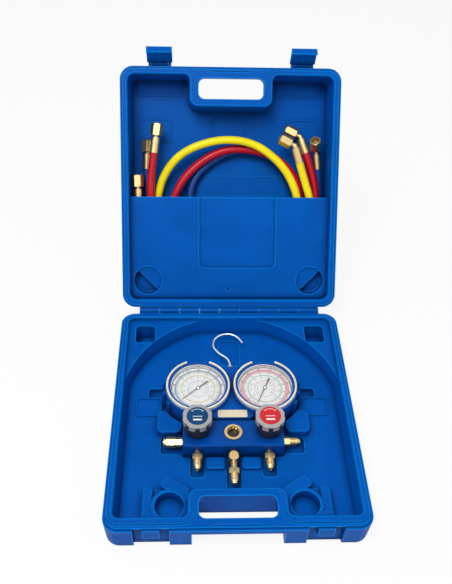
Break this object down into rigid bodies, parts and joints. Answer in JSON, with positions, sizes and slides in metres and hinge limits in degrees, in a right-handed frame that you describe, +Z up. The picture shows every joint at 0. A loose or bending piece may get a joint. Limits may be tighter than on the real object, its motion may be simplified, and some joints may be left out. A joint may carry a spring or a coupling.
{
  "type": "refrigerant manifold gauge set",
  "caption": "Two-valve refrigerant manifold with low and high side dial gauges, knobs, sight glass, brass flare ports, hook and coloured hoses, in an open hinged carrying case.",
  "frame": {"origin": "middle of the face that the case rests on", "axes": "+Z up, +X to the right as seen from the handle side, +Y from the handle to the hinge"},
  "size_m": [0.3298, 0.6236, 0.369],
  "materials": {
    "case_plastic": "semi-gloss blow-moulded",
    "steel": "bright",
    "blue_paint": "satin blue paint on aluminium",
    "brass": "machined",
    "glass": "clear",
    "knob_dark": "charcoal",
    "knob_grey": "grey",
    "cap_blue": "glossy print",
    "cap_red": "glossy print",
    "gauge_metal": "plated",
    "dial_white": "printed dial",
    "pointer": "black",
    "boot_rubber": "matt",
    "trim_cream": "satin",
    "label": "satin, blank",
    "hose_yellow": "gloss",
    "hose_red": "gloss",
    "hose_blue": "gloss"
  },
  "bodies": {
    "base": {"case_base": "case_plastic", "hinge_pin": "steel"},
    "lid": {"case_lid": "case_plastic", "lid_pocket_panel": "case_plastic", "latch_pins": "steel", "hose_yellow": "hose_yellow", "sleeve_straight_yellow": "brass", "sleeve_bent_yellow": "brass", "hose_red": "hose_red", "sleeve_straight_red": "brass", "sleeve_bent_red": "brass", "hose_blue": "hose_blue", "sleeve_straight_blue": "brass", "sleeve_bent_blue": "brass"},
    "latch_left": {"latch_left": "case_plastic"},
    "latch_right": {"latch_right": "case_plastic"},
    "manifold": {"manifold_block": "blue_paint", "sight_glass_ring": "brass", "sight_glass_lens": "glass", "valve_bonnets": "brass", "port_fittings": "brass", "valve_cores": "brass", "side_fitting_left": "brass", "side_fitting_right": "brass", "centre_tee": "brass", "gauge_cases": "steel", "gauge_bezels": "gauge_metal", "gauge_glasses": "glass", "movement_frames": "brass", "bourdon_tubes": "brass", "gauge_dial_low": "dial_white", "gauge_dial_high": "dial_white", "boot_shell": "boot_rubber", "boot_trims": "trim_cream", "label_plate": "label", "hook_ferrule": "brass"},
    "side_cap": {"side_cap": "brass"},
    "hook": {"hook_wire": "steel"},
    "knob_left": {"knob_body_left": "knob_dark", "knob_crown_left": "knob_grey", "knob_cap_left": "cap_blue", "valve_stem_left": "steel"},
    "piston_left": {"valve_piston_left": "brass"},
    "knob_right": {"knob_body_right": "knob_dark", "knob_crown_right": "knob_grey", "knob_cap_right": "cap_red", "valve_stem_right": "steel"},
    "piston_right": {"valve_piston_right": "brass"},
    "needle_low": {"gauge_needle_low": "pointer", "pinion_arbor_low": "brass"},
    "sector_low": {"sector_gear_low": "brass"},
    "needle_high": {"gauge_needle_high": "pointer", "pinion_arbor_high": "brass"},
    "sector_high": {"sector_gear_high": "brass"},
    "nut_straight_yellow": {"nut_straight_yellow": "brass"},
    "nut_bent_yellow": {"nut_bent_yellow": "brass"},
    "nut_straight_red": {"nut_straight_red": "brass"},
    "nut_bent_red": {"nut_bent_red": "brass"},
    "nut_straight_blue": {"nut_straight_blue": "brass"},
    "nut_bent_blue": {"nut_bent_blue": "brass"}
  },
  "joints": [
    {"name": "lid_hinge", "type": "hinge", "parent": "base", "child": "lid", "pos_m": [0, 0.1855, 0.04165], "axis": [-1, 0, 0], "range_deg": [-125.3, 0]},
    {"name": "latch_left_hinge", "type": "hinge", "parent": "lid", "child": "latch_left", "pos_m": [-0.106, 0.40736, 0.33743], "axis": [-1, 0, 0], "range_deg": [-34.5, 50]},
    {"name": "latch_right_hinge", "type": "hinge", "parent": "lid", "child": "latch_right", "pos_m": [0.106, 0.40736, 0.33743], "axis": [-1, 0, 0], "range_deg": [-34.5, 50]},
    {"name": "manifold_lift", "type": "slide", "parent": "base", "child": "manifold", "axis": [0, 0, 1], "range_m": [0, 0.15]},
    {"name": "knob_left_turn", "type": "hinge", "parent": "manifold", "child": "knob_left", "pos_m": [-0.05, -0.032, 0.0375], "axis": [0, 0, 1], "range_deg": [0, 720]},
    {"name": "piston_left_slide", "type": "slide", "parent": "manifold", "child": "piston_left", "axis": [0, 0, 1], "range_m": [0, 0.002]},
    {"name": "knob_right_turn", "type": "hinge", "parent": "manifold", "child": "knob_right", "pos_m": [0.046, -0.032, 0.0375], "axis": [0, 0, 1], "range_deg": [0, 720]},
    {"name": "piston_right_slide", "type": "slide", "parent": "manifold", "child": "piston_right", "axis": [0, 0, 1], "range_m": [0, 0.002]},
    {"name": "needle_low_turn", "type": "hinge", "parent": "manifold", "child": "needle_low", "pos_m": [-0.049, 0.0345, 0.041], "axis": [0, 0, 1], "range_deg": [-263, 25]},
    {"name": "sector_low_turn", "type": "hinge", "parent": "manifold", "child": "sector_low", "pos_m": [-0.065, 0.0345, 0.026], "axis": [0, 0, 1], "range_deg": [-3.58, 37.58]},
    {"name": "needle_high_turn", "type": "hinge", "parent": "manifold", "child": "needle_high", "pos_m": [0.045, 0.0345, 0.041], "axis": [0, 0, 1], "range_deg": [-288, 0]},
    {"name": "sector_high_turn", "type": "hinge", "parent": "manifold", "child": "sector_high", "pos_m": [0.029, 0.0345, 0.026], "axis": [0, 0, 1], "range_deg": [0, 41.15]},
    {"name": "hook_swivel", "type": "hinge", "parent": "manifold", "child": "hook", "pos_m": [-0.002, 0.07, 0.028], "axis": [0, 1, 0], "range_deg": [-25, 25]},
    {"name": "side_cap_turn", "type": "hinge", "parent": "manifold", "child": "side_cap", "pos_m": [-0.0815, -0.042, 0.0205], "axis": [1, 0, 0], "continuous": true},
    {"name": "nut_straight_yellow_spin", "type": "hinge", "parent": "lid", "child": "nut_straight_yellow", "pos_m": [-0.14172, 0.31747, 0.1859], "axis": [-0.0263, 0.5777, 0.8159], "continuous": true},
    {"name": "nut_bent_yellow_spin", "type": "hinge", "parent": "lid", "child": "nut_bent_yellow", "pos_m": [0.08847, 0.34937, 0.24284], "axis": [-0.8905, 0.1962, 0.4105], "continuous": true},
    {"name": "nut_straight_red_spin", "type": "hinge", "parent": "lid", "child": "nut_straight_red", "pos_m": [-0.11264, 0.36239, 0.24934], "axis": [0.1343, 0.5726, 0.8087], "continuous": true},
    {"name": "nut_bent_red_spin", "type": "hinge", "parent": "lid", "child": "nut_bent_red", "pos_m": [0.09928, 0.37638, 0.2418], "axis": [-0.9007, 0.2775, 0.3342], "continuous": true},
    {"name": "nut_straight_blue_spin", "type": "hinge", "parent": "lid", "child": "nut_straight_blue", "pos_m": [-0.12809, 0.36609, 0.21757], "axis": [0.0293, 0.5287, 0.8483], "continuous": true},
    {"name": "nut_bent_blue_spin", "type": "hinge", "parent": "lid", "child": "nut_bent_blue", "pos_m": [0.13398, 0.35873, 0.22928], "axis": [-0.1933, -0.2378, 0.9519], "continuous": true}
  ],
  "couplings": [
    {"joint": "knob_left_turn", "follows": "piston_left_slide", "rad_per_m": 6283.2},
    {"joint": "knob_right_turn", "follows": "piston_right_slide", "rad_per_m": 6283.2},
    {"joint": "sector_low_turn", "follows": "needle_low_turn", "ratio": -0.14286},
    {"joint": "sector_high_turn", "follows": "needle_high_turn", "ratio": -0.14286}
  ]
}
